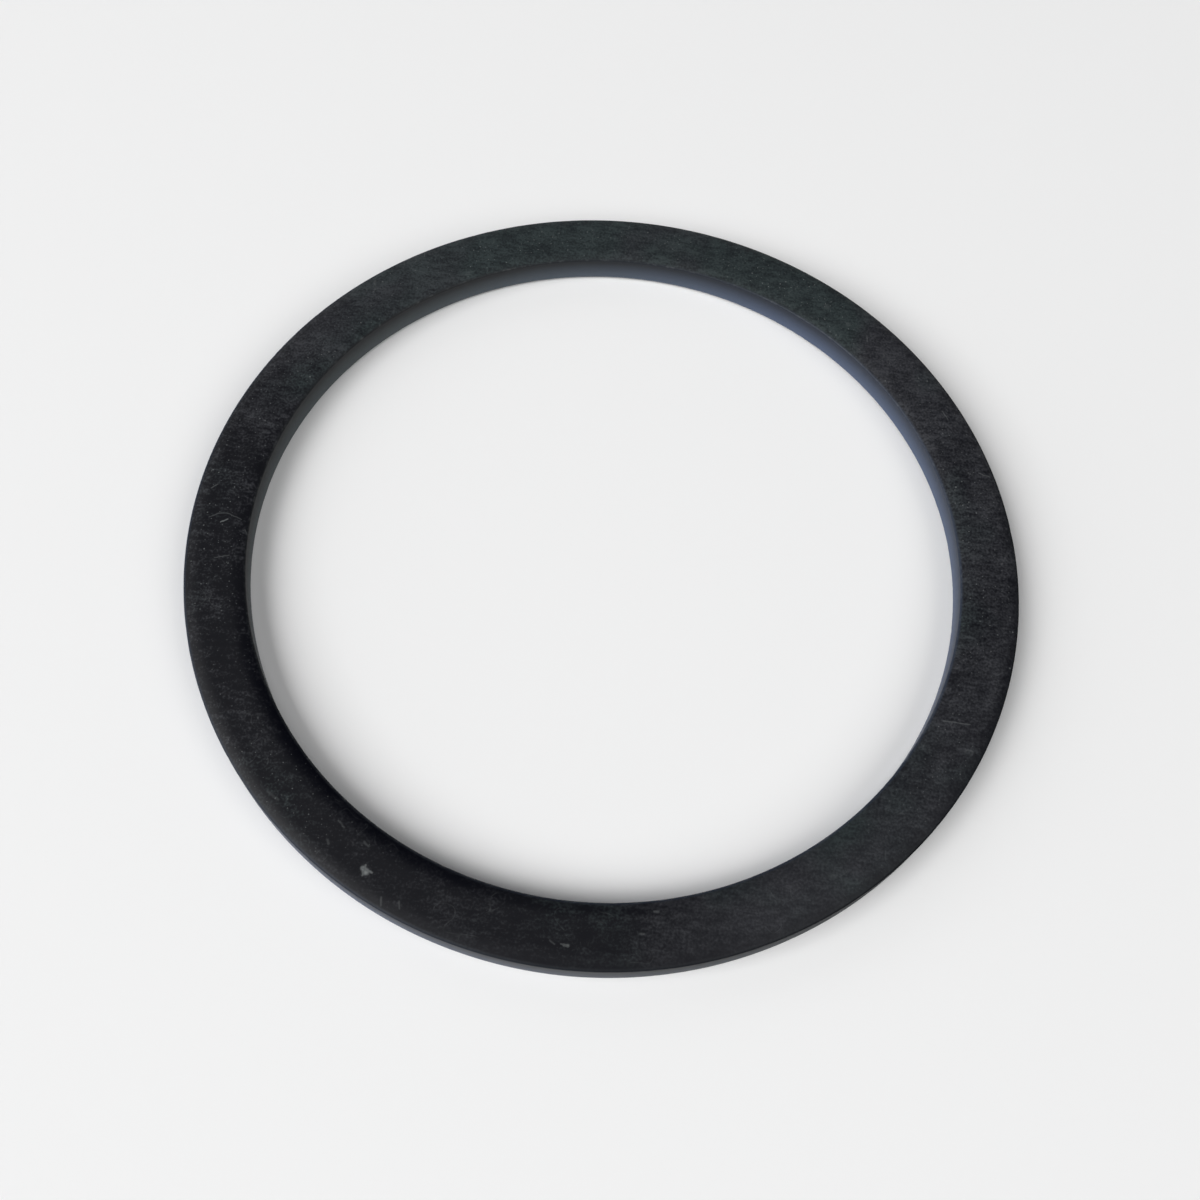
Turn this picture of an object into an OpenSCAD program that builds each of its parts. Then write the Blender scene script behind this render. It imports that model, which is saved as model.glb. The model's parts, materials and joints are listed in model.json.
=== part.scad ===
// Nylon washer: one flat ring, moulded in black nylon 6/6.
// It lies on its underside at z = 0, centred on its own axis. Sizes are in millimetres.

/* [Ring] */
// Diameter of the hole
bore_d = 60; // [20:0.5:100]
// Width of the ring from the hole to the outside
rim_w = 5; // [3:0.1:12]
// Thickness from face to face
thickness = 3; // [1:0.1:6]

/* [Edges] */
// Width of the band beside each edge where the face falls away from flat
ease_w = 1.3; // [0.6:0.1:1.4]
// How far the face has fallen by the time it would meet the wall
ease_drop = 0.26; // [0.05:0.01:0.3]
// Radius of the corner between the face and the wall
edge_r = 0.13; // [0.05:0.01:0.2]

/* [Hidden] */
$fn = 180;

bore_r = bore_d / 2;
// Middle of the rim, where the section's two sides mirror each other
mid_r = bore_r + rim_w / 2;
// Radius of the shallow arc that is level at the flat of the face and ease_drop lower at the wall
ease_r = (ease_w ^ 2 + ease_drop ^ 2) / (2 * ease_drop);
// How far the corner stands out past that arc, so that their outlines cross and don't only touch
proud = 0.001;
// Depth below the face of the centre of a corner that touches the wall and runs into that arc
corner_depth = ease_r - sqrt((ease_r - edge_r) ^ 2 - (ease_w - edge_r) ^ 2) - proud;
// Distance from the wall to the point where the corner is nearest to the arc
corner_w = edge_r * (ease_r - ease_w) / (ease_r - edge_r);

// What lies below the upper face, from the hole's wall to the middle of the rim.
// x is the distance from the washer's axis and y the height. It runs on below the washer.
module below_face_at_bore() {
    // The flat of the face
    translate([bore_r + ease_w, -thickness])
        square([rim_w / 2 - ease_w, 2 * thickness]);
    // The band that falls away
    intersection() {
        translate([bore_r + ease_w, thickness - ease_r])
            circle(ease_r);
        translate([bore_r + corner_w, 0])
            square([ease_w, thickness]);
    }
    // The corner
    translate([bore_r + edge_r, thickness - corner_depth])
        circle(edge_r);
    // The straight wall, and what is behind it
    translate([bore_r, -thickness])
        square([rim_w / 2, 2 * thickness - corner_depth]);
}

// What lies below the upper face, from the hole's wall to the outside
module below_face() {
    below_face_at_bore();
    translate([2 * mid_r, 0])
        mirror([1, 0])
            below_face_at_bore();
}

// The ring's section. The underside is the upper face turned over.
module rim_section() {
    intersection() {
        below_face();
        translate([0, thickness])
            mirror([0, 1])
                below_face();
    }
}

module washer() {
    color([0.17, 0.17, 0.18])
        rotate_extrude()
            rim_section();
}

washer();
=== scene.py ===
"""Nylon washer: one flat ring moulded in black nylon 6/6, lying on a pale studio floor."""

import json
import math

import bmesh
import bpy
from mathutils import Matrix, Vector


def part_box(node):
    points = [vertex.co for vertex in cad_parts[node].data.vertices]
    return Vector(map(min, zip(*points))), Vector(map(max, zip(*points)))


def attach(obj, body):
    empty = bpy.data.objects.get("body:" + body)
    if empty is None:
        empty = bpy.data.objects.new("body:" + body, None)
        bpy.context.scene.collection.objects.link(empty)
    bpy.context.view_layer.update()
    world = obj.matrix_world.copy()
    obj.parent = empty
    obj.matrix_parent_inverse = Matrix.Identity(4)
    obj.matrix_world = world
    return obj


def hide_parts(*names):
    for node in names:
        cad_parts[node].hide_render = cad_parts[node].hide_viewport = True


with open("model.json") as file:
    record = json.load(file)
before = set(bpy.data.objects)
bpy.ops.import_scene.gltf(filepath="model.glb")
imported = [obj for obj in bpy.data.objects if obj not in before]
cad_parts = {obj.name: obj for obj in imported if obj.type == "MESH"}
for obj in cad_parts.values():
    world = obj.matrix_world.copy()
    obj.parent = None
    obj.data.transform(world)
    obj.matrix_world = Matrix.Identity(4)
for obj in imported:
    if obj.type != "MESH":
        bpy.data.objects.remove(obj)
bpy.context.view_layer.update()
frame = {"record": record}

MM = 0.001

# ---------------------------------------------------------------- sizes

low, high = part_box("washer")
outer_r = (high.x - low.x) / 2
thickness = high.z - low.z
hole_r = next(m for m in frame["record"]["mounts"] if m["name"] == "bore")["dims"]["r_mm"] * MM
rim_w = outer_r - hole_r
middle_r = hole_r + rim_w / 2

# The band beside each edge where the face falls away, and the corner beyond it
eased_w = 1.3 * MM
eased_drop = 0.26 * MM
corner_r = 0.13 * MM


# ---------------------------------------------------------------- helpers


def add(tree, kind, feeds=None, **settings):
    """Adds a node. Settings are its own options; feeds are its inputs: a value, a socket or a node.

    Inputs go by name or number. A Map Range takes what lies between 1 and 2 to between 3 and 4. A Mix goes
    from 6 to 7 for colours, and from 2 to 3 for numbers.
    """
    made = tree.nodes.new(kind)
    for option, value in settings.items():
        setattr(made, option, value)
    for socket, value in (feeds or {}).items():
        if isinstance(value, bpy.types.Node):
            value = next(out for out in value.outputs if out.enabled)
        if isinstance(value, bpy.types.NodeSocket):
            tree.links.new(value, made.inputs[socket])
        else:
            made.inputs[socket].default_value = value
    return made


def linear(tone):
    """The linear colour of an sRGB hex value."""
    parts = [int(tone[n : n + 2], 16) / 255 for n in (1, 3, 5)]
    return [p / 12.92 if p <= 0.04045 else ((p + 0.055) / 1.055) ** 2.4 for p in parts] + [1.0]


# ---------------------------------------------------------------- camera

# It stands over the near side, a hand's breadth from the ring, looking down steeply and a little tilted
LOOK_DOWN = math.radians(61.83)
TILT = math.radians(6.87)
DISTANCE = 114 * MM
SIDE_STEP = 0.65 * MM
RISE = 1.56 * MM

away = Vector((0, -math.cos(LOOK_DOWN), math.sin(LOOK_DOWN)))
across = Vector((1, 0, 0))
upward = away.cross(across)
camera_x = across * math.cos(TILT) + upward * math.sin(TILT)
camera_y = upward * math.cos(TILT) - across * math.sin(TILT)

lens = bpy.data.cameras.new("camera")
camera = bpy.data.objects.new("camera", lens)
bpy.context.collection.objects.link(camera)
bpy.context.scene.camera = camera
stand = Vector((0, 0, thickness)) + away * DISTANCE + across * SIDE_STEP + upward * RISE
camera.matrix_world = Matrix.Translation(stand) @ Matrix((camera_x, camera_y, away)).transposed().to_4x4()
lens.sensor_width = 36
lens.lens = 40.56
lens.shift_x = -0.0149
lens.shift_y = -0.0639
lens.clip_start = 0.005
lens.clip_end = 20


# ---------------------------------------------------------------- nylon

# Tones of the nylon, of the dust on it, and of the light painted on it
BLACK = "#07080f"
GREY_DUST_LIGHT = "#36373b"
GREEN_DUST_LIGHT = "#303839"
WALL_BLACK = "#0d1014"
GREY_WALL_LIGHT = "#4a5356"
BLUE_WALL_LIGHT = "#4a5770"
PALE = "#a3a8a8"

# Marks that stand out one by one on the upper face. Each has its angle from +X in degrees, its distance from
# the axis, its length, the way it runs in degrees from outward, half its width, and how pale it is. Lengths
# are in millimetres.
LINES = [
    # The large fleck near the front, with its ragged points, and the small ones
    (243.4, 33.2, 0.35, 70, 0.22, 0.42),
    (243.6, 33.1, 0.80, 100, 0.09, 0.24),
    (243.3, 33.2, 0.75, 20, 0.08, 0.22),
    (271.0, 33.3, 0.30, 95, 0.11, 0.20),
    (270.8, 33.3, 0.55, 75, 0.07, 0.12),
    (269.2, 33.2, 0.40, 60, 0.08, 0.07),
    (282.9, 30.9, 0.30, 85, 0.11, 0.10),
    (237.2, 33.2, 0.30, 60, 0.11, 0.07),
    (241.4, 31.6, 0.50, 80, 0.10, 0.06),
    (280.7, 32.4, 0.25, 90, 0.10, 0.08),
    # Scratches
    (236.9, 31.6, 0.75, 79, 0.08, 0.06),
    (247.3, 34.4, 0.55, 33, 0.08, 0.08),
    (249.5, 34.0, 0.50, 31, 0.08, 0.08),
    (126.2, 34.7, 0.85, 154, 0.05, 0.09),
    (48.3, 32.4, 0.70, 43, 0.05, 0.10),
    (30.2, 33.3, 0.95, 94, 0.05, 0.12),
    (227.6, 33.8, 0.95, 99, 0.12, 0.05),
    (337.0, 32.0, 2.10, 22, 0.06, 0.12),
    # Hairs and lint, each of one to three short lines
    (184.3, 32.1, 0.60, 31, 0.06, 0.28),
    (183.5, 33.0, 0.90, 30, 0.05, 0.11),
    (183.1, 32.3, 0.75, 5, 0.05, 0.12),
    (183.5, 31.3, 1.25, 158, 0.05, 0.11),
    (190.3, 31.9, 1.20, 10, 0.05, 0.10),
    (178.8, 33.6, 0.65, 45, 0.05, 0.14),
    (186.0, 30.2, 0.45, 120, 0.05, 0.11),
    (19.0, 33.8, 0.45, 143, 0.05, 0.12),
    (18.6, 34.2, 0.50, 158, 0.05, 0.12),
]

# Spots of dust that stand out: the angle from +X in degrees, the distance from the axis and the radius in
# millimetres, and how pale it is. The last two are faint smudges.
SPECKS = [
    (189.0, 33.4, 0.08, 0.27),
    (190.8, 34.4, 0.07, 0.21),
    (191.5, 31.4, 0.07, 0.21),
    (17.5, 31.1, 0.08, 0.27),
    (12.6, 32.2, 0.07, 0.24),
    (19.4, 32.8, 0.06, 0.21),
    (89.7, 33.6, 0.08, 0.18),
    (95.8, 32.6, 0.07, 0.13),
    (86.6, 32.6, 0.07, 0.13),
    (40.3, 30.6, 0.07, 0.18),
    (33.6, 31.8, 0.07, 0.21),
    (36.7, 33.9, 0.08, 0.24),
    (354.0, 31.7, 0.07, 0.18),
    (353.5, 34.5, 0.08, 0.24),
    (348.1, 34.7, 0.08, 0.24),
    (0.2, 32.9, 0.07, 0.18),
    (52.3, 32.3, 0.30, 0.05),
    (57.1, 32.6, 0.35, 0.04),
]


def on_the_ring(degrees, radius_mm=1):
    """The place at this angle from +X and this distance from the axis, with no height."""
    turn = math.radians(degrees)
    return Vector((radius_mm * math.cos(turn), radius_mm * math.sin(turn), 0))


# Headings from the axis that the painted shade, the painted light and the dust follow
SHADED_HOLE_WAY = on_the_ring(232)
SHADED_RIM_WAY = on_the_ring(300)
LIGHTER_WAY = on_the_ring(45)
FAR = on_the_ring(90)
PATCH = on_the_ring(302)
FRONT = on_the_ring(282)
RIGHT = on_the_ring(345)


def paint_line(tree, flat, under, degrees, radius_mm, length_mm, lie, half_w, paleness):
    """One short line painted over what is already pale, with soft edges."""
    middle = on_the_ring(degrees, radius_mm)
    run = on_the_ring(degrees + lie, length_mm)
    start = middle - run / 2
    offset = add(tree, "ShaderNodeVectorMath", {0: flat, 1: start}, operation="SUBTRACT")
    share = add(tree, "ShaderNodeVectorMath", {0: offset, 1: run / length_mm**2}, operation="DOT_PRODUCT")
    held = add(tree, "ShaderNodeClamp", {"Value": share})
    nearest = add(tree, "ShaderNodeVectorMath", {0: held, 1: -run, 2: offset}, operation="MULTIPLY_ADD")
    gap = add(tree, "ShaderNodeVectorMath", {0: nearest}, operation="LENGTH")
    return add(
        tree,
        "ShaderNodeMapRange",
        {"Value": gap, 1: 0.1 * half_w, 2: 1.5 * half_w, 3: paleness, 4: under},
        interpolation_type="SMOOTHSTEP",
    )


def paint_speck(tree, flat, under, degrees, radius_mm, size_mm, paleness):
    """One round speck painted over what is already pale, with a soft edge."""
    middle = on_the_ring(degrees, radius_mm)
    gap = add(tree, "ShaderNodeVectorMath", {0: flat, 1: middle}, operation="DISTANCE")
    return add(
        tree,
        "ShaderNodeMapRange",
        {"Value": gap, 1: 0.3 * size_mm, 2: 1.2 * size_mm, 3: paleness, 4: under},
        interpolation_type="SMOOTHSTEP",
    )


def black_moulded_nylon():
    """Black nylon 6/6, injection moulded and tumbled.

    It is deep black with a soft sheen, not a gloss: the mould leaves a fine grain that scatters the light.
    The melt leaves short faint streaks, two bands are painted darker and smoother as shade, and handling
    leaves dust, lint and hairline scratches. Painted light and pale dust make the black grey, a little green
    on the face, and blue on the walls.
    """
    nylon = bpy.data.materials.new("black_moulded_nylon")
    nylon.use_nodes = True
    tree = nylon.node_tree
    tree.nodes.clear()

    # Places in millimetres, from the middle of the underside
    here = add(tree, "ShaderNodeTexCoord")
    place = add(tree, "ShaderNodeVectorMath", {0: here.outputs["Object"], "Scale": 1 / MM}, operation="SCALE")
    parts = add(tree, "ShaderNodeSeparateXYZ", {0: place})
    level = parts.outputs["Z"]
    flat = add(tree, "ShaderNodeCombineXYZ", {0: parts.outputs["X"], 1: parts.outputs["Y"]})
    reach = add(tree, "ShaderNodeVectorMath", {0: flat}, operation="LENGTH")
    from_hole = add(tree, "ShaderNodeMath", {0: reach, 1: hole_r / MM}, operation="SUBTRACT")
    from_rim = add(tree, "ShaderNodeMath", {0: outer_r / MM, 1: reach}, operation="SUBTRACT")
    from_wall = add(tree, "ShaderNodeMath", {0: from_hole, 1: from_rim}, operation="MINIMUM")

    # Where the walls are, and the open face
    wall = add(
        tree,
        "ShaderNodeMapRange",
        {"Value": from_wall, 1: 0.0, 2: 0.3, 3: 1, 4: 0},
        interpolation_type="SMOOTHSTEP",
    )
    open_face = add(
        tree, "ShaderNodeMapRange", {"Value": from_wall, 1: 0.2, 2: 0.8}, interpolation_type="SMOOTHSTEP"
    )

    # Two bands of painted shade, darker and duller: beside the hole at the front left, and beside the rim at
    # the front right
    heading = add(tree, "ShaderNodeVectorMath", {0: flat}, operation="NORMALIZE")
    hole_way = add(tree, "ShaderNodeVectorMath", {0: heading, 1: SHADED_HOLE_WAY}, operation="DOT_PRODUCT")
    hole_arc = add(
        tree,
        "ShaderNodeMapRange",
        {"Value": hole_way, 1: 0.8, 2: 0.995},
        interpolation_type="SMOOTHSTEP",
    )
    beside_hole = add(
        tree,
        "ShaderNodeMapRange",
        {"Value": from_hole, 1: 0.1, 2: 2.0, 3: 1, 4: 0},
        interpolation_type="SMOOTHSTEP",
    )
    shade_by_hole = add(tree, "ShaderNodeMath", {0: hole_arc, 1: beside_hole}, operation="MULTIPLY")
    rim_way = add(tree, "ShaderNodeVectorMath", {0: heading, 1: SHADED_RIM_WAY}, operation="DOT_PRODUCT")
    rim_arc = add(
        tree,
        "ShaderNodeMapRange",
        {"Value": rim_way, 1: 0.1, 2: 0.7, 3: 0, 4: 0.7},
        interpolation_type="SMOOTHSTEP",
    )
    beside_rim = add(
        tree,
        "ShaderNodeMapRange",
        {"Value": from_rim, 1: 0.1, 2: 1.4, 3: 1, 4: 0},
        interpolation_type="SMOOTHSTEP",
    )
    shade_by_rim = add(tree, "ShaderNodeMath", {0: rim_arc, 1: beside_rim}, operation="MULTIPLY")
    painted_shade = add(tree, "ShaderNodeMath", {0: shade_by_hole, 1: shade_by_rim}, operation="MAXIMUM")
    off_wall = add(tree, "ShaderNodeMath", {0: 1.0, 1: wall}, operation="SUBTRACT")
    painted_shade = add(tree, "ShaderNodeMath", {0: painted_shade, 1: off_wall}, operation="MULTIPLY")

    # Patterns. The real grain of the mould is about 0.05 mm, and is drawn at 0.2 mm so that it shows.
    broad = add(tree, "ShaderNodeTexNoise", {"Vector": place, "Scale": 1 / 9, "Detail": 2})
    cloudy = add(tree, "ShaderNodeTexNoise", {"Vector": place, "Scale": 1 / 2.2, "Detail": 2})
    drawn_out = add(tree, "ShaderNodeVectorMath", {0: place, 1: (0.4, 1, 1)}, operation="MULTIPLY")
    streaks = add(
        tree, "ShaderNodeTexNoise", {"Vector": drawn_out, "Scale": 1 / 0.5, "Detail": 2, "Roughness": 0.6}
    )
    grain = add(tree, "ShaderNodeTexNoise", {"Vector": place, "Scale": 1 / 0.2, "Detail": 1})

    # The face's tone by side is painted light, a pale film over the black: darkest at the front left, lighter
    # round the rest, and lightest on the far side, with one more lighter patch at the front right
    side_way = add(tree, "ShaderNodeVectorMath", {0: heading, 1: LIGHTER_WAY}, operation="DOT_PRODUCT")
    side_tone = add(
        tree,
        "ShaderNodeMapRange",
        {"Value": side_way, 1: -0.75, 2: -0.25, 3: 0.03, 4: 0.43},
        interpolation_type="SMOOTHSTEP",
    )
    far_way = add(tree, "ShaderNodeVectorMath", {0: heading, 1: FAR}, operation="DOT_PRODUCT")
    far_light = add(
        tree,
        "ShaderNodeMapRange",
        {"Value": far_way, 1: 0.3, 2: 0.9, 3: 0, 4: 0.25},
        interpolation_type="SMOOTHSTEP",
    )
    patch_way = add(tree, "ShaderNodeVectorMath", {0: heading, 1: PATCH}, operation="DOT_PRODUCT")
    patch_light = add(
        tree,
        "ShaderNodeMapRange",
        {"Value": patch_way, 1: 0.93, 2: 0.99, 3: 0, 4: 0.1},
        interpolation_type="SMOOTHSTEP",
    )
    dust_and_light = add(tree, "ShaderNodeMath", {0: side_tone, 1: far_light}, operation="ADD")
    dust_and_light = add(tree, "ShaderNodeMath", {0: dust_and_light, 1: patch_light}, operation="ADD")

    # Real dust lies in it unevenly, in pale clouds, streaks and grains on a darker ground, and more evenly at
    # the front
    uneven = add(tree, "ShaderNodeMath", {0: cloudy, 1: 0.9, 2: -2.0}, operation="MULTIPLY_ADD")
    uneven = add(tree, "ShaderNodeMath", {0: streaks, 1: 1.4, 2: uneven}, operation="MULTIPLY_ADD")
    uneven = add(tree, "ShaderNodeMath", {0: grain, 1: 1.7, 2: uneven}, operation="MULTIPLY_ADD")
    half_uneven = add(tree, "ShaderNodeMath", {0: uneven, 1: 0.5}, operation="MULTIPLY")
    uneven = add(tree, "ShaderNodeMath", {0: half_uneven, 1: uneven, 2: uneven}, operation="MULTIPLY_ADD")
    front_way = add(tree, "ShaderNodeVectorMath", {0: heading, 1: FRONT}, operation="DOT_PRODUCT")
    front = add(tree, "ShaderNodeMapRange", {"Value": front_way, 1: 0.4, 2: 0.9})
    contrast = add(tree, "ShaderNodeMapRange", {"Value": front, 3: 1.0, 4: 0.62})
    dust_and_light = add(tree, "ShaderNodeMath", {0: uneven, 1: contrast, 2: dust_and_light}, operation="MULTIPLY_ADD")
    # In the bands of painted shade only a tenth of the pale film is kept, so they are painted darker
    unshaded = add(tree, "ShaderNodeMapRange", {"Value": painted_shade, 3: 1, 4: 0.1})
    dust_and_light = add(tree, "ShaderNodeMath", {0: dust_and_light, 1: unshaded}, operation="MULTIPLY")

    # It is a little green where the far side and the front-right patch are painted lighter
    lit_patches = add(tree, "ShaderNodeMath", {0: far_light, 1: patch_light}, operation="ADD")
    greener = add(tree, "ShaderNodeMath", {0: lit_patches, 1: 0.8, 2: broad}, operation="MULTIPLY_ADD")
    green_patch = add(tree, "ShaderNodeMapRange", {"Value": greener, 1: 0.54, 2: 0.72})
    dust_and_light_tone = add(
        tree,
        "ShaderNodeMix",
        {"Factor": green_patch, 6: linear(GREY_DUST_LIGHT), 7: linear(GREEN_DUST_LIGHT)},
        data_type="RGBA",
    )
    face_tone = add(tree, "ShaderNodeMix", {"Factor": dust_and_light, 6: linear(BLACK), 7: dust_and_light_tone}, data_type="RGBA")

    # Painted light on the walls: a pale painted reflection of the floor, lighter towards the floor. It is
    # bluer and
    # lighter where a wall faces left: the hole's wall at the right, and the outer wall at the left.
    inside = add(tree, "ShaderNodeMath", {0: from_hole, 1: from_rim}, operation="LESS_THAN")
    right_way = add(tree, "ShaderNodeVectorMath", {0: heading, 1: RIGHT}, operation="DOT_PRODUCT")
    side = add(tree, "ShaderNodeMapRange", {"Value": inside, 3: -1, 4: 1})
    faces_left = add(tree, "ShaderNodeMath", {0: right_way, 1: side}, operation="MULTIPLY")
    wall_light = add(tree, "ShaderNodeMapRange", {"Value": level, 1: 0, 2: 2.4, 3: 1.0, 4: 0.12})
    wall_light = add(tree, "ShaderNodeMath", {0: faces_left, 1: 0.15, 2: wall_light}, operation="MULTIPLY_ADD")
    outer_kept = add(tree, "ShaderNodeMapRange", {"Value": faces_left, 1: -0.9, 2: 0.2, 3: 0.35, 4: 0.9})
    wall_light_kept = add(tree, "ShaderNodeMath", {0: outer_kept, 1: inside}, operation="MAXIMUM")
    wall_light = add(tree, "ShaderNodeMath", {0: wall_light, 1: wall_light_kept}, operation="MULTIPLY", use_clamp=True)
    bluer = add(tree, "ShaderNodeMapRange", {"Value": faces_left, 1: -0.9, 2: 0.2})
    wall_light_tone = add(
        tree,
        "ShaderNodeMix",
        {"Factor": bluer, 6: linear(GREY_WALL_LIGHT), 7: linear(BLUE_WALL_LIGHT)},
        data_type="RGBA",
    )
    lit_wall_tone = add(
        tree,
        "ShaderNodeMix",
        {"Factor": wall_light, 6: linear(WALL_BLACK), 7: wall_light_tone},
        data_type="RGBA",
    )
    black = add(tree, "ShaderNodeMix", {"Factor": wall, 6: face_tone, 7: lit_wall_tone}, data_type="RGBA")

    # Coarser dust: ragged specks about 0.55 mm apart where it has gathered, and fainter ones elsewhere
    stray = 0.06
    fray = add(tree, "ShaderNodeTexNoise", {"Vector": place, "Scale": 1 / 0.3, "Detail": 1})
    strayed = add(
        tree,
        "ShaderNodeVectorMath",
        {0: fray.outputs["Color"], 1: (2 * stray,) * 3, 2: flat},
        operation="MULTIPLY_ADD",
    )
    ragged = add(tree, "ShaderNodeVectorMath", {0: strayed, 1: (stray,) * 3}, operation="SUBTRACT")
    frayed_flat = add(tree, "ShaderNodeVectorMath", {0: ragged, 1: (1, 1, 0)}, operation="MULTIPLY")
    cells = add(
        tree,
        "ShaderNodeTexVoronoi",
        {"Vector": frayed_flat, "Scale": 1 / 0.55},
        voronoi_dimensions="2D",
    )
    chance = add(tree, "ShaderNodeSeparateColor", {0: cells.outputs["Color"]})
    speck_r = add(tree, "ShaderNodeMath", {0: chance.outputs[0], 1: chance.outputs[0]}, operation="MULTIPLY")
    speck_r = add(tree, "ShaderNodeMath", {0: speck_r, 1: 0.15}, operation="MULTIPLY")
    speck = add(
        tree,
        "ShaderNodeMapRange",
        {"Value": cells.outputs["Distance"], 1: 0.0, 2: speck_r, 3: 1, 4: 0},
        interpolation_type="SMOOTHSTEP",
    )
    gathered = add(tree, "ShaderNodeMapRange", {"Value": broad, 1: 0.4, 2: 0.62, 3: 0.13, 4: 0.43})
    cleaner = add(tree, "ShaderNodeMapRange", {"Value": front, 3: 1, 4: 0.1})
    gathered = add(tree, "ShaderNodeMath", {0: gathered, 1: cleaner}, operation="MULTIPLY")
    dusty = add(tree, "ShaderNodeMath", {0: speck, 1: gathered}, operation="MULTIPLY")

    # Curled hairs of lint
    curl = add(tree, "ShaderNodeTexNoise", {"Vector": place, "Scale": 1 / 1.6, "Detail": 0})
    off_ridge = add(tree, "ShaderNodeMath", {0: curl, 1: 0.5}, operation="SUBTRACT")
    off_ridge = add(tree, "ShaderNodeMath", {0: off_ridge}, operation="ABSOLUTE")
    thread = add(tree, "ShaderNodeMapRange", {"Value": off_ridge, 1: 0.0, 2: 0.016, 3: 1, 4: 0})
    kept = add(tree, "ShaderNodeMapRange", {"Value": cloudy, 1: 0.55, 2: 0.66, 3: 0, 4: 0.05})
    lint = add(tree, "ShaderNodeMath", {0: thread, 1: kept}, operation="MULTIPLY")
    pale = add(tree, "ShaderNodeMath", {0: dusty, 1: lint}, operation="MAXIMUM")
    pale = add(tree, "ShaderNodeMath", {0: pale, 1: open_face}, operation="MULTIPLY")

    # The marks that stand out, on the upper face only
    painted = 0.0
    for mark in SPECKS:
        painted = paint_speck(tree, frayed_flat, painted, *mark)
    for mark in LINES:
        painted = paint_line(tree, frayed_flat, painted, *mark)
    on_top = add(tree, "ShaderNodeMath", {0: level, 1: thickness / MM / 2}, operation="GREATER_THAN")
    marked = add(tree, "ShaderNodeMath", {0: painted, 1: on_top}, operation="MULTIPLY")
    pale = add(tree, "ShaderNodeMath", {0: pale, 1: marked}, operation="MAXIMUM")

    # A broken pale line painted along the hole's upper edge, where the mould's flash stands: a painted glint
    flash_in = 0.08
    flash_down = 0.25
    beside = add(tree, "ShaderNodeMath", {0: from_hole, 1: flash_in}, operation="SUBTRACT")
    above = add(tree, "ShaderNodeMath", {0: level, 1: thickness / MM - flash_down}, operation="SUBTRACT")
    corner = add(tree, "ShaderNodeCombineXYZ", {0: beside, 1: above})
    corner_gap = add(tree, "ShaderNodeVectorMath", {0: corner}, operation="LENGTH")
    glint_line = add(
        tree,
        "ShaderNodeMapRange",
        {"Value": corner_gap, 1: 0.04, 2: 0.14, 3: 1, 4: 0},
        interpolation_type="SMOOTHSTEP",
    )
    breaks = add(tree, "ShaderNodeTexNoise", {"Vector": place, "Scale": 1 / 0.5, "Detail": 2})
    stretch = add(tree, "ShaderNodeMapRange", {"Value": breaks, 1: 0.5, 2: 0.75, 3: 0, 4: 0.07})
    flash = add(tree, "ShaderNodeMath", {0: glint_line, 1: stretch}, operation="MULTIPLY")
    pale = add(tree, "ShaderNodeMath", {0: pale, 1: flash}, operation="MAXIMUM")
    finished = add(tree, "ShaderNodeMix", {"Factor": pale, 6: black, 7: linear(PALE)}, data_type="RGBA")

    # The bands of painted shade are smoother and have little specular, which darkens them further, and dust
    # takes off the sheen. The walls' specular is set strongest at the foot, a painted reflection, and the
    # outer wall's is turned down towards the right, a painted shade.
    sheen = add(tree, "ShaderNodeMapRange", {"Value": painted_shade, 3: 0.44, 4: 0.36})
    sheen = add(tree, "ShaderNodeMath", {0: streaks, 1: 0.12, 2: sheen}, operation="MULTIPLY_ADD")
    dull = add(tree, "ShaderNodeMath", {0: pale, 1: 0.4, 2: sheen}, operation="MULTIPLY_ADD", use_clamp=True)
    face_shine = add(tree, "ShaderNodeMapRange", {"Value": painted_shade, 3: 0.25, 4: 0.06})
    wall_shine = add(tree, "ShaderNodeMapRange", {"Value": level, 1: 0.3, 2: 2.4, 3: 0.36, 4: 0.24})
    outer_shine = add(tree, "ShaderNodeMapRange", {"Value": faces_left, 1: -0.9, 2: -0.2, 3: 0.03, 4: 0.75})
    lit_wall = add(tree, "ShaderNodeMath", {0: outer_shine, 1: inside}, operation="MAXIMUM")
    wall_shine = add(tree, "ShaderNodeMath", {0: wall_shine, 1: lit_wall}, operation="MULTIPLY")
    shine = add(tree, "ShaderNodeMix", {"Factor": wall, 2: face_shine, 3: wall_shine}, data_type="FLOAT")

    # Relief in millimetres: the grain and the streaks
    relief = add(tree, "ShaderNodeMath", {0: grain, 1: 0.002}, operation="MULTIPLY")
    relief = add(tree, "ShaderNodeMath", {0: streaks, 1: 0.006, 2: relief}, operation="MULTIPLY_ADD")
    in_metres = add(tree, "ShaderNodeMath", {0: relief, 1: MM}, operation="MULTIPLY")
    bump = add(tree, "ShaderNodeBump", {"Height": in_metres, "Distance": 1.0, "Strength": 1.0})

    shader = add(
        tree,
        "ShaderNodeBsdfPrincipled",
        {
            "Base Color": finished,
            "Metallic": 0.0,
            "Roughness": dull,
            "IOR": 1.53,
            "Specular IOR Level": shine,
            "Normal": bump,
        },
    )
    add(tree, "ShaderNodeOutputMaterial", {"Surface": shader})
    return nylon


# ---------------------------------------------------------------- ring


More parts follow.
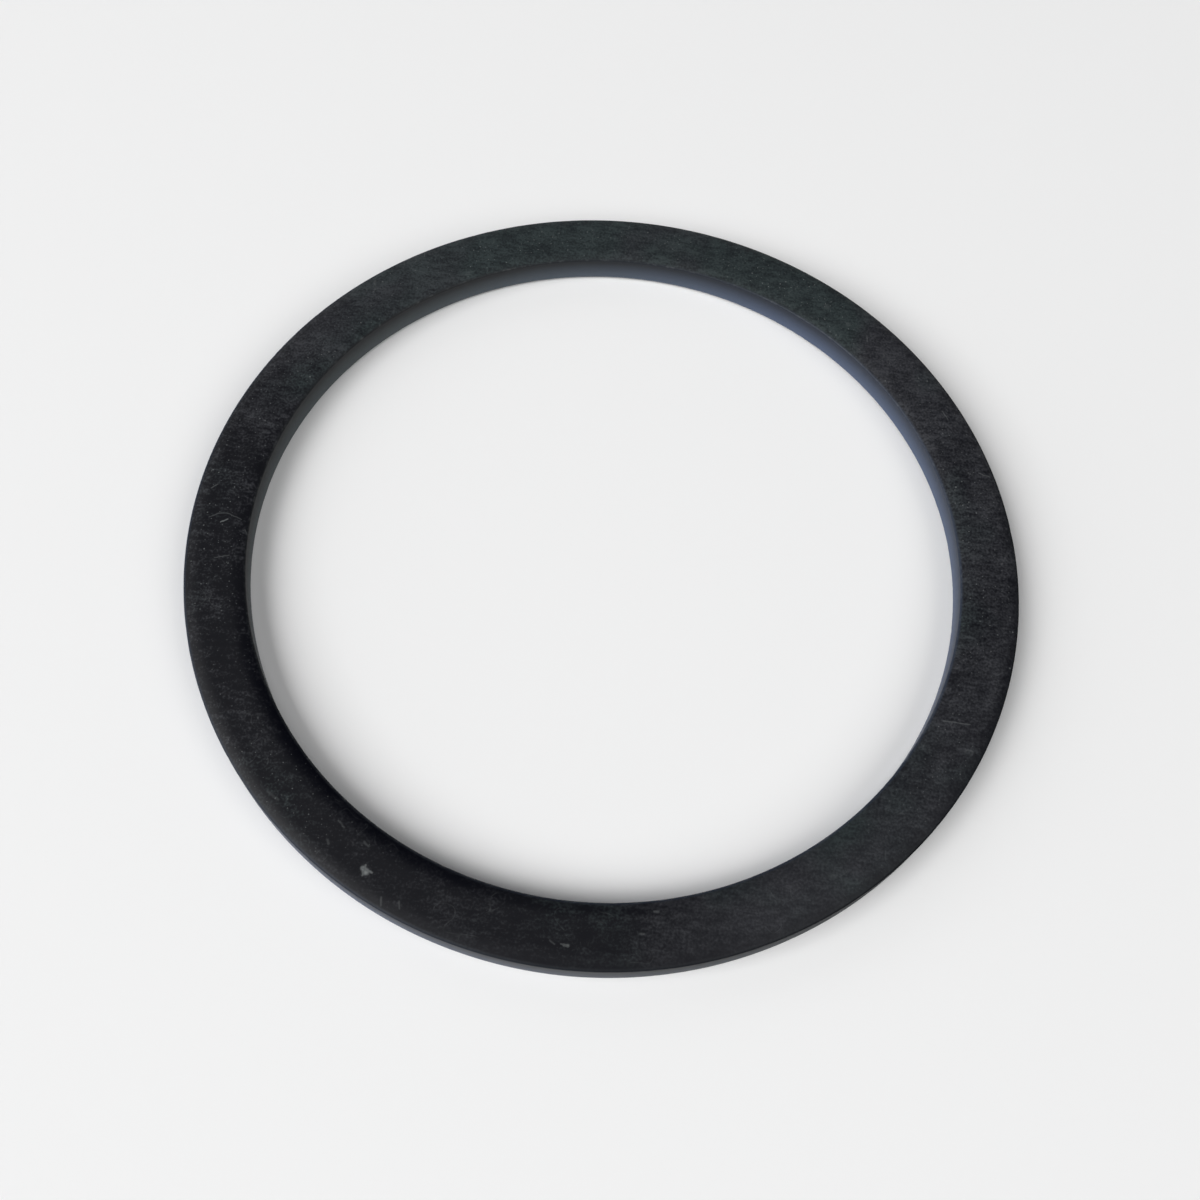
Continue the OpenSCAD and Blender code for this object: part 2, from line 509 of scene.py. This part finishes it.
def moulded_ring(name, nylon):
    """The washer: its section is drawn, eased and rounded, swept round a circle, and roughened a little."""
    tree = bpy.data.node_groups.new("moulded_ring", "GeometryNodeTree")
    tree.interface.new_socket("Geometry", in_out="OUTPUT", socket_type="NodeSocketGeometry")
    arc_r = (eased_w**2 + eased_drop**2) / (2 * eased_drop)
    sizes = {
        "Middle Radius": middle_r,
        "Rim Width": rim_w,
        "Thickness": thickness,
        "Eased Width": eased_w,
        "Arc Radius": arc_r,
        "Corner Radius": corner_r,
        "Spacing": 0.2 * MM,
        "Points Round": 1000,
        "Wave Depth": 0.02 * MM,
        "Nick Depth": 0.02 * MM,
        "Flash Height": 0.01 * MM,
        "Flash From Wall": 0.07 * MM,
        "Flash Below Face": 0.24 * MM,
        "Nylon": nylon,
    }
    kinds = {float: "NodeSocketFloat", int: "NodeSocketInt", bpy.types.Material: "NodeSocketMaterial"}
    sockets = {
        title: tree.interface.new_socket(title, in_out="INPUT", socket_type=kinds[type(value)])
        for title, value in sizes.items()
    }
    size = add(tree, "NodeGroupInput").outputs

    # The section: a rectangle with rounded corners
    block = add(
        tree,
        "GeometryNodeCurvePrimitiveQuadrilateral",
        {"Width": size["Rim Width"], "Height": size["Thickness"]},
        mode="RECTANGLE",
    )
    rounded = add(
        tree,
        "GeometryNodeFilletCurve",
        {"Curve": block, "Radius": size["Corner Radius"], "Count": 5},
        mode="POLY",
    )

    # More points along its straight sides, about one spacing apart. A side has one cut fewer than spaces.
    spot = add(tree, "GeometryNodeInputPosition")
    neighbour = add(tree, "GeometryNodeOffsetPointInCurve", {"Offset": 1})
    beyond = add(
        tree,
        "GeometryNodeFieldAtIndex",
        {"Index": neighbour.outputs["Point Index"], "Value": spot},
        data_type="FLOAT_VECTOR",
    )
    gap = add(tree, "ShaderNodeVectorMath", {0: spot, 1: beyond}, operation="DISTANCE")
    shares = add(tree, "ShaderNodeMath", {0: gap, 1: size["Spacing"]}, operation="DIVIDE")
    fewer = add(tree, "ShaderNodeMath", {0: shares, 1: 1.0}, operation="SUBTRACT")
    whole = add(tree, "ShaderNodeMath", {0: fewer}, operation="ROUND")
    cuts = add(tree, "ShaderNodeMath", {0: whole, 1: 0.0}, operation="MAXIMUM")
    pointed = add(tree, "GeometryNodeSubdivideCurve", {"Curve": rounded, "Cuts": cuts})

    # Each face falls away along a shallow arc towards the walls
    at = add(tree, "ShaderNodeSeparateXYZ", {0: spot})
    half_w = add(tree, "ShaderNodeMath", {0: size["Rim Width"], 1: 0.5}, operation="MULTIPLY")
    half_t = add(tree, "ShaderNodeMath", {0: size["Thickness"], 1: 0.5}, operation="MULTIPLY")
    off_middle = add(tree, "ShaderNodeMath", {0: at.outputs["X"]}, operation="ABSOLUTE")
    from_wall = add(tree, "ShaderNodeMath", {0: half_w, 1: off_middle}, operation="SUBTRACT")
    into_band = add(tree, "ShaderNodeMath", {0: size["Eased Width"], 1: from_wall}, operation="SUBTRACT")
    banded = add(tree, "ShaderNodeMath", {0: into_band, 1: 0.0}, operation="MAXIMUM")
    band_sq = add(tree, "ShaderNodeMath", {0: banded, 1: banded}, operation="MULTIPLY")
    arc_sq = add(tree, "ShaderNodeMath", {0: size["Arc Radius"], 1: size["Arc Radius"]}, operation="MULTIPLY")
    rise_sq = add(tree, "ShaderNodeMath", {0: arc_sq, 1: band_sq}, operation="SUBTRACT")
    rise = add(tree, "ShaderNodeMath", {0: rise_sq}, operation="SQRT")
    drop = add(tree, "ShaderNodeMath", {0: size["Arc Radius"], 1: rise}, operation="SUBTRACT")
    share = add(tree, "ShaderNodeMath", {0: drop, 1: half_t}, operation="DIVIDE")
    kept = add(tree, "ShaderNodeMath", {0: 1.0, 1: share}, operation="SUBTRACT")
    squash = add(tree, "ShaderNodeCombineXYZ", {0: 1.0, 1: kept, 2: 1.0})
    eased_spot = add(tree, "ShaderNodeVectorMath", {0: spot, 1: squash}, operation="MULTIPLY")
    eased = add(tree, "GeometryNodeSetPosition", {"Geometry": pointed, "Position": eased_spot})

    # How far round the section each point is, for the map that the surface detail is printed on
    along = add(tree, "GeometryNodeSplineParameter")
    section = add(
        tree,
        "GeometryNodeStoreNamedAttribute",
        {"Geometry": eased, "Name": "section", "Value": along.outputs["Factor"]},
        data_type="FLOAT",
        domain="POINT",
    )

    # The section swept round the circle
    circle = add(
        tree,
        "GeometryNodeCurvePrimitiveCircle",
        {"Resolution": size["Points Round"], "Radius": size["Middle Radius"]},
        mode="RADIUS",
    )
    upright = add(tree, "GeometryNodeSetCurveNormal", {"Curve": circle}, mode="Z_UP")
    swept = add(tree, "GeometryNodeCurveToMesh", {"Curve": upright, "Profile Curve": section})

    # Moulded plastic isn't quite true: slow waves 9 mm long, and small nicks near the edges, all inward.
    # A point's gap from the wall and its gap from the face, added, say how near it is to an edge.
    in_mm = add(tree, "ShaderNodeVectorMath", {0: spot, "Scale": 1 / MM}, operation="SCALE")
    wave = add(tree, "ShaderNodeTexNoise", {"Vector": in_mm, "Scale": 1 / 9, "Detail": 1})
    flat = add(tree, "ShaderNodeVectorMath", {0: spot, 1: (1, 1, 0)}, operation="MULTIPLY")
    reach = add(tree, "ShaderNodeVectorMath", {0: flat}, operation="LENGTH")
    off_centre = add(tree, "ShaderNodeMath", {0: reach, 1: size["Middle Radius"]}, operation="SUBTRACT")
    off_either = add(tree, "ShaderNodeMath", {0: off_centre}, operation="ABSOLUTE")
    wall_gap = add(tree, "ShaderNodeMath", {0: half_w, 1: off_either}, operation="SUBTRACT")
    off_level = add(tree, "ShaderNodeMath", {0: at.outputs["Z"]}, operation="ABSOLUTE")
    face_gap = add(tree, "ShaderNodeMath", {0: half_t, 1: off_level}, operation="SUBTRACT")
    edge_gap = add(tree, "ShaderNodeMath", {0: wall_gap, 1: face_gap}, operation="ADD")
    near_edge = add(
        tree,
        "ShaderNodeMapRange",
        {"Value": edge_gap, 1: 0.4 * MM, 2: 0.9 * MM, 3: 1, 4: 0},
        interpolation_type="SMOOTHSTEP",
    )
    bites = add(tree, "ShaderNodeTexNoise", {"Vector": in_mm, "Scale": 1 / 1.2, "Detail": 2})
    bite = add(tree, "ShaderNodeMapRange", {"Value": bites, 1: 0.6, 2: 0.78, 3: 0, 4: size["Nick Depth"]})
    nick = add(tree, "ShaderNodeMath", {0: bite, 1: near_edge}, operation="MULTIPLY")
    sink = add(tree, "ShaderNodeMath", {0: wave, 1: size["Wave Depth"], 2: nick}, operation="MULTIPLY_ADD")
    pull = add(tree, "ShaderNodeMath", {0: sink, 1: -1.0}, operation="MULTIPLY")
    normal = add(tree, "GeometryNodeInputNormal")
    shift = add(tree, "ShaderNodeVectorMath", {0: normal, "Scale": pull}, operation="SCALE")

    # Flash: a broken ridge standing up from the hole's upper corner, mostly on the far side
    past_wall = add(tree, "ShaderNodeMath", {0: off_centre, 1: half_w}, operation="ADD")
    beside = add(tree, "ShaderNodeMath", {0: past_wall, 1: size["Flash From Wall"]}, operation="SUBTRACT")
    lower = add(tree, "ShaderNodeMath", {0: half_t, 1: at.outputs["Z"]}, operation="SUBTRACT")
    above = add(tree, "ShaderNodeMath", {0: lower, 1: size["Flash Below Face"]}, operation="SUBTRACT")
    corner = add(tree, "ShaderNodeCombineXYZ", {0: beside, 1: above})
    corner_gap = add(tree, "ShaderNodeVectorMath", {0: corner}, operation="LENGTH")
    ridge = add(
        tree,
        "ShaderNodeMapRange",
        {"Value": corner_gap, 1: 0.02 * MM, 2: 0.09 * MM, 3: 1, 4: 0},
        interpolation_type="SMOOTHSTEP",
    )
    breaks = add(tree, "ShaderNodeTexNoise", {"Vector": in_mm, "Scale": 1 / 0.7, "Detail": 1})
    stretch = add(
        tree, "ShaderNodeMapRange", {"Value": breaks, 1: 0.42, 2: 0.62, 3: 0, 4: size["Flash Height"]}
    )
    far_side = add(
        tree, "ShaderNodeMapRange", {"Value": at.outputs["Y"], 1: 0, 2: size["Middle Radius"], 3: 0.3}
    )
    height = add(tree, "ShaderNodeMath", {0: stretch, 1: far_side}, operation="MULTIPLY")
    flash = add(tree, "ShaderNodeMath", {0: height, 1: ridge}, operation="MULTIPLY")
    raised = add(tree, "ShaderNodeMath", {0: flash, 1: half_t}, operation="ADD")
    lift = add(tree, "ShaderNodeCombineXYZ", {2: raised})
    move = add(tree, "ShaderNodeVectorMath", {0: shift, 1: lift}, operation="ADD")
    relief = add(tree, "GeometryNodeSetPosition", {"Geometry": swept, "Offset": move})

    # The map that the surface detail is printed on: the ring unrolled as strips, one above another, with bare
    # margins. Points and faces are numbered turn by turn, so each one's number says where it is.
    strips = 4
    end_margin = 0.005
    side_margin = 0.02
    per_turn = add(tree, "GeometryNodeAttributeDomainSize", {"Geometry": section}, component="CURVE")
    per_turn = per_turn.outputs["Point Count"]
    number = add(tree, "GeometryNodeInputIndex")
    point_no = add(tree, "GeometryNodeFieldOnDomain", {"Value": number}, data_type="INT", domain="POINT")
    face_no = add(tree, "GeometryNodeFieldOnDomain", {"Value": number}, data_type="INT", domain="FACE")
    point_part = add(tree, "ShaderNodeMath", {0: point_no, 1: per_turn}, operation="DIVIDE")
    point_turn = add(tree, "ShaderNodeMath", {0: point_part}, operation="FLOOR")
    point_step = add(tree, "ShaderNodeMath", {0: point_no, 1: per_turn}, operation="MODULO")
    face_part = add(tree, "ShaderNodeMath", {0: face_no, 1: per_turn}, operation="DIVIDE")
    face_turn = add(tree, "ShaderNodeMath", {0: face_part}, operation="FLOOR")
    face_step = add(tree, "ShaderNodeMath", {0: face_no, 1: per_turn}, operation="MODULO")
    came_round = add(tree, "ShaderNodeMath", {0: point_turn, 1: face_turn}, operation="LESS_THAN")
    turn = add(
        tree,
        "ShaderNodeMath",
        {0: came_round, 1: size["Points Round"], 2: point_turn},
        operation="MULTIPLY_ADD",
    )
    went_over = add(tree, "ShaderNodeMath", {0: point_step, 1: face_step}, operation="LESS_THAN")
    share_over = add(tree, "GeometryNodeInputNamedAttribute", {"Name": "section"}, data_type="FLOAT")
    step = add(tree, "ShaderNodeMath", {0: share_over, 1: went_over}, operation="ADD")
    strip = add(tree, "ShaderNodeMath", {0: size["Points Round"], 1: 1 / strips}, operation="MULTIPLY")
    row_part = add(tree, "ShaderNodeMath", {0: face_turn, 1: strip}, operation="DIVIDE")
    row = add(tree, "ShaderNodeMath", {0: row_part}, operation="FLOOR")
    strips_on = add(tree, "ShaderNodeMath", {0: turn, 1: strip}, operation="DIVIDE")
    strip_share = add(tree, "ShaderNodeMath", {0: strips_on, 1: row}, operation="SUBTRACT")
    map_x = add(tree, "ShaderNodeMapRange", {"Value": strip_share, 3: end_margin, 4: 1 - end_margin})
    inset = add(tree, "ShaderNodeMapRange", {"Value": step, 3: side_margin, 4: 1 - side_margin})
    rows_up = add(tree, "ShaderNodeMath", {0: row, 1: inset}, operation="ADD")
    map_y = add(tree, "ShaderNodeMath", {0: rows_up, 1: 1 / strips}, operation="MULTIPLY")
    on_map = add(tree, "ShaderNodeCombineXYZ", {0: map_x, 1: map_y})
    mapped = add(
        tree,
        "GeometryNodeStoreNamedAttribute",
        {"Geometry": relief, "Name": "OFBake", "Value": on_map},
        data_type="FLOAT2",
        domain="CORNER",
    )
    plain = add(tree, "GeometryNodeRemoveAttribute", {"Geometry": mapped, "Name": "section"})

    smooth = add(tree, "GeometryNodeSetShadeSmooth", {"Geometry": plain})
    real = add(tree, "GeometryNodeRealizeInstances", {"Geometry": smooth})
    finished = add(tree, "GeometryNodeSetMaterial", {"Geometry": real, "Material": size["Nylon"]})
    add(tree, "NodeGroupOutput", {"Geometry": finished})

    ring = bpy.data.objects.new(name, bpy.data.meshes.new(name))
    bpy.context.collection.objects.link(ring)
    maker = ring.modifiers.new("moulded_ring", "NODES")
    maker.node_group = tree
    for title, value in sizes.items():
        maker[sockets[title].identifier] = value
    made = bpy.data.meshes.new_from_object(ring.evaluated_get(bpy.context.evaluated_depsgraph_get()))
    ring.modifiers.remove(maker)
    ring.data = made
    made.name = name
    return ring


nylon = black_moulded_nylon()
ring = moulded_ring("nylon_ring", nylon)
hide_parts("washer")
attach(ring, "root")


# ---------------------------------------------------------------- studio

# The floor is flat out to this distance from the axis. It then bends up, with this radius, by these degrees.
FLAT_R = 2.6
BEND_R = 1.4
BEND_BY = 70
# It lies this far below the underside, so that the two are never in one plane
FLOOR_GAP = 0.01 * MM


def studio_floor():
    """A wide sheet of matt white paper, just below the washer's underside, that curves up all round."""
    paper = bpy.data.materials.new("matt_white_paper")
    paper.use_nodes = True
    shader = paper.node_tree.nodes["Principled BSDF"]
    shader.inputs["Base Color"].default_value = linear("#f0f0f0")
    shader.inputs["Roughness"].default_value = 1.0
    shader.inputs["Specular IOR Level"].default_value = 0.0
    bends = [math.radians(degrees) for degrees in range(0, BEND_BY + 1, 10)]
    rising = [(FLAT_R + BEND_R * math.sin(bend), BEND_R * (1 - math.cos(bend))) for bend in bends]
    sheet = bmesh.new()
    points = [sheet.verts.new((out, 0, up - FLOOR_GAP)) for out, up in [(0, 0)] + rising]
    edges = [sheet.edges.new(pair) for pair in zip(points, points[1:])]
    bmesh.ops.spin(
        sheet,
        geom=points + edges,
        cent=(0, 0, 0),
        axis=(0, 0, 1),
        angle=math.tau,
        steps=96,
        use_merge=True,
    )
    bmesh.ops.remove_doubles(sheet, verts=sheet.verts, dist=1 * MM)
    bmesh.ops.recalc_face_normals(sheet, faces=sheet.faces)
    mesh = bpy.data.meshes.new("studio_floor")
    sheet.to_mesh(mesh)
    sheet.free()
    mesh.shade_smooth()
    mesh.materials.append(paper)
    floor = bpy.data.objects.new("studio_floor", mesh)
    bpy.context.collection.objects.link(floor)
    return floor


studio_floor()


# Every light is this far from the ring
LIGHT_DISTANCE = 2.0


def soft_light(name, degrees, height, across_m, watts):
    """A square soft light facing the ring, at this angle from +X and this many degrees above the floor."""
    panel = bpy.data.lights.new(name, "AREA")
    panel.size = across_m
    panel.energy = watts
    turn = math.radians(degrees)
    up = math.radians(height)
    aim = Vector((math.cos(turn) * math.cos(up), math.sin(turn) * math.cos(up), math.sin(up)))
    light = bpy.data.objects.new(name, panel)
    light.location = aim * LIGHT_DISTANCE
    light.rotation_euler = aim.to_track_quat("Z", "Y").to_euler()
    bpy.context.collection.objects.link(light)


# A wide soft light to the front left and a weaker one to the front right, one low down at the left that skims
# the face, and a little light from the far left. Nothing hangs overhead, so that the face stays black and the
# walls catch the pale floor.
soft_light("key", 215, 44, 1.6, 42)
soft_light("right", 322, 44, 1.6, 20)
soft_light("skim", 188, 12, 1.0, 9)
soft_light("far_left", 135, 30, 1.0, 2.5)

world = bpy.data.worlds.new("studio")
world.use_nodes = True
world.node_tree.nodes["Background"].inputs["Color"].default_value = linear("#c8ccd2")
world.node_tree.nodes["Background"].inputs["Strength"].default_value = 0.02
bpy.context.scene.world = world
bpy.context.scene.view_settings.view_transform = "Standard"
